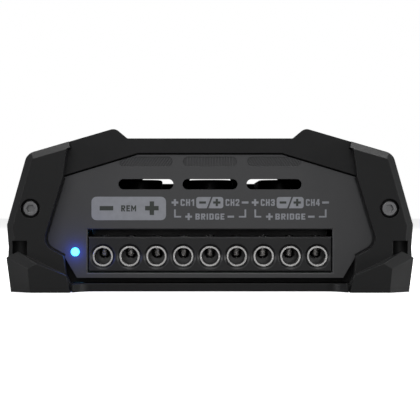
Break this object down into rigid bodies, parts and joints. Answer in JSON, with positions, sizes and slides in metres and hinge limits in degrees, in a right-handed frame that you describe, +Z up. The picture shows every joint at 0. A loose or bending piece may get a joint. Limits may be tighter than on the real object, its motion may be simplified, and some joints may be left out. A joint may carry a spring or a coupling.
{
  "type": "car amplifier",
  "caption": "Compact multi-channel car amplifier with a finned cover, corner feet, a pull-out wire terminal plug, signal jacks, level knobs and blade fuses.",
  "frame": {"origin": "on the mounting surface, under the middle of the case", "axes": "X across the amplifier, Y along it with the wire terminals on the -Y end, Z up from the mounting surface"},
  "size_m": [0.143, 0.2, 0.0572],
  "materials": {
    "case_coat": "extruded, under a fine-textured black powder coat",
    "corner_moulding": "lightly grained black nylon",
    "base_coat": "satin black coat",
    "end_panel": "fine-textured dark grey coat",
    "black_steel": "black-oxide steel",
    "terminal_plastic": "black glass-filled plastic",
    "plated_metal": "bright nickel plate",
    "dull_plate": "dull dark plate",
    "gasket_rubber": "matt black",
    "light_guide": "clear, lit blue",
    "lamp_body": "clear resin, lit blue",
    "board": "green solder mask",
    "zinc_steel": "bright zinc",
    "brass_spacer": "turned",
    "ferrite": "painted powder core",
    "copper_wire": "enamelled copper",
    "capacitor_sleeve": "shrink sleeve, bright aluminium top",
    "pad_film": "grey silicone film",
    "chip_resin": "moulded epoxy",
    "bar_alloy": "milled",
    "jack_plastic": "black",
    "jack_white": "white",
    "jack_red": "red",
    "knob_plastic": "black",
    "fuse_plastic": "translucent amber"
  },
  "bodies": {
    "case": {"heatsink_cover": "case_coat", "base_plate": "base_coat", "base_screws": "black_steel", "cap_front_right": "corner_moulding", "cap_front_left": "corner_moulding", "cap_rear_left": "corner_moulding", "cap_rear_right": "corner_moulding", "cap_screws_front": "black_steel", "cap_screws_rear": "black_steel", "front_end_plate": "end_panel", "front_gasket": "gasket_rubber", "rear_end_plate": "end_panel", "rear_gasket": "gasket_rubber", "plug_header": "terminal_plastic", "header_pins": "plated_metal", "light_pipe": "light_guide", "status_led": "lamp_body", "main_board": "board", "board_standoffs": "brass_spacer", "board_screws": "zinc_steel", "toroid_core": "ferrite", "toroid_winding": "copper_wire", "choke_cores": "ferrite", "choke_windings": "copper_wire", "storage_capacitors": "capacitor_sleeve", "small_capacitors": "capacitor_sleeve", "thermal_pads": "pad_film", "power_transistors": "chip_resin", "transistor_bars": "bar_alloy", "bar_screws": "zinc_steel", "driver_board": "board", "board_chips": "chip_resin", "jack_housing": "jack_plastic", "jack_shells": "plated_metal", "jack_centres_left": "jack_white", "jack_centres_right": "jack_red", "control_board": "board", "pot_bodies": "zinc_steel", "switch_bodies": "zinc_steel", "fuse_holder": "terminal_plastic"},
    "terminal_plug": {"plug_housing": "terminal_plastic", "port_rings": "plated_metal", "wire_cages": "dull_plate"},
    "clamp_screw_1": {"clamp_screw_1": "plated_metal"},
    "clamp_screw_2": {"clamp_screw_2": "plated_metal"},
    "clamp_screw_3": {"clamp_screw_3": "plated_metal"},
    "clamp_screw_4": {"clamp_screw_4": "plated_metal"},
    "clamp_screw_5": {"clamp_screw_5": "plated_metal"},
    "clamp_screw_6": {"clamp_screw_6": "plated_metal"},
    "clamp_screw_7": {"clamp_screw_7": "plated_metal"},
    "clamp_screw_8": {"clamp_screw_8": "plated_metal"},
    "clamp_screw_9": {"clamp_screw_9": "plated_metal"},
    "front_gain_knob": {"front_gain_knob": "knob_plastic"},
    "front_crossover_knob": {"front_crossover_knob": "knob_plastic"},
    "rear_gain_knob": {"rear_gain_knob": "knob_plastic"},
    "rear_crossover_knob": {"rear_crossover_knob": "knob_plastic"},
    "front_filter_switch": {"front_filter_switch": "knob_plastic"},
    "rear_filter_switch": {"rear_filter_switch": "knob_plastic"},
    "fuse_one": {"fuse_one": "fuse_plastic"},
    "fuse_two": {"fuse_two": "fuse_plastic"}
  },
  "joints": [
    {"name": "plug_slide", "type": "slide", "parent": "case", "child": "terminal_plug", "axis": [0, -1, 0], "range_m": [0, 0.022]},
    {"name": "clamp_screw_1_travel", "type": "slide", "parent": "terminal_plug", "child": "clamp_screw_1", "axis": [0, 0, 1], "range_m": [-0.0019, 0.002]},
    {"name": "clamp_screw_2_travel", "type": "slide", "parent": "terminal_plug", "child": "clamp_screw_2", "axis": [0, 0, 1], "range_m": [-0.0019, 0.002]},
    {"name": "clamp_screw_3_travel", "type": "slide", "parent": "terminal_plug", "child": "clamp_screw_3", "axis": [0, 0, 1], "range_m": [-0.0019, 0.002]},
    {"name": "clamp_screw_4_travel", "type": "slide", "parent": "terminal_plug", "child": "clamp_screw_4", "axis": [0, 0, 1], "range_m": [-0.0019, 0.002]},
    {"name": "clamp_screw_5_travel", "type": "slide", "parent": "terminal_plug", "child": "clamp_screw_5", "axis": [0, 0, 1], "range_m": [-0.0019, 0.002]},
    {"name": "clamp_screw_6_travel", "type": "slide", "parent": "terminal_plug", "child": "clamp_screw_6", "axis": [0, 0, 1], "range_m": [-0.0019, 0.002]},
    {"name": "clamp_screw_7_travel", "type": "slide", "parent": "terminal_plug", "child": "clamp_screw_7", "axis": [0, 0, 1], "range_m": [-0.0019, 0.002]},
    {"name": "clamp_screw_8_travel", "type": "slide", "parent": "terminal_plug", "child": "clamp_screw_8", "axis": [0, 0, 1], "range_m": [-0.0019, 0.002]},
    {"name": "clamp_screw_9_travel", "type": "slide", "parent": "terminal_plug", "child": "clamp_screw_9", "axis": [0, 0, 1], "range_m": [-0.0019, 0.002]},
    {"name": "front_gain_knob_turn", "type": "hinge", "parent": "case", "child": "front_gain_knob", "pos_m": [0.038, 0.09, 0.0325], "axis": [0, 1, 0], "range_deg": [-140, 140]},
    {"name": "front_crossover_knob_turn", "type": "hinge", "parent": "case", "child": "front_crossover_knob", "pos_m": [0.014, 0.09, 0.0325], "axis": [0, 1, 0], "range_deg": [-140, 140]},
    {"name": "rear_gain_knob_turn", "type": "hinge", "parent": "case", "child": "rear_gain_knob", "pos_m": [-0.014, 0.09, 0.0325], "axis": [0, 1, 0], "range_deg": [-140, 140]},
    {"name": "rear_crossover_knob_turn", "type": "hinge", "parent": "case", "child": "rear_crossover_knob", "pos_m": [-0.038, 0.09, 0.0325], "axis": [0, 1, 0], "range_deg": [-140, 140]},
    {"name": "front_filter_switch_slide", "type": "slide", "parent": "case", "child": "front_filter_switch", "axis": [1, 0, 0], "range_m": [-0.002, 0.002]},
    {"name": "rear_filter_switch_slide", "type": "slide", "parent": "case", "child": "rear_filter_switch", "axis": [1, 0, 0], "range_m": [-0.002, 0.002]},
    {"name": "fuse_one_pull", "type": "slide", "parent": "case", "child": "fuse_one", "axis": [0, 1, 0], "range_m": [0, 0.012]},
    {"name": "fuse_two_pull", "type": "slide", "parent": "case", "child": "fuse_two", "axis": [0, 1, 0], "range_m": [0, 0.012]}
  ]
}
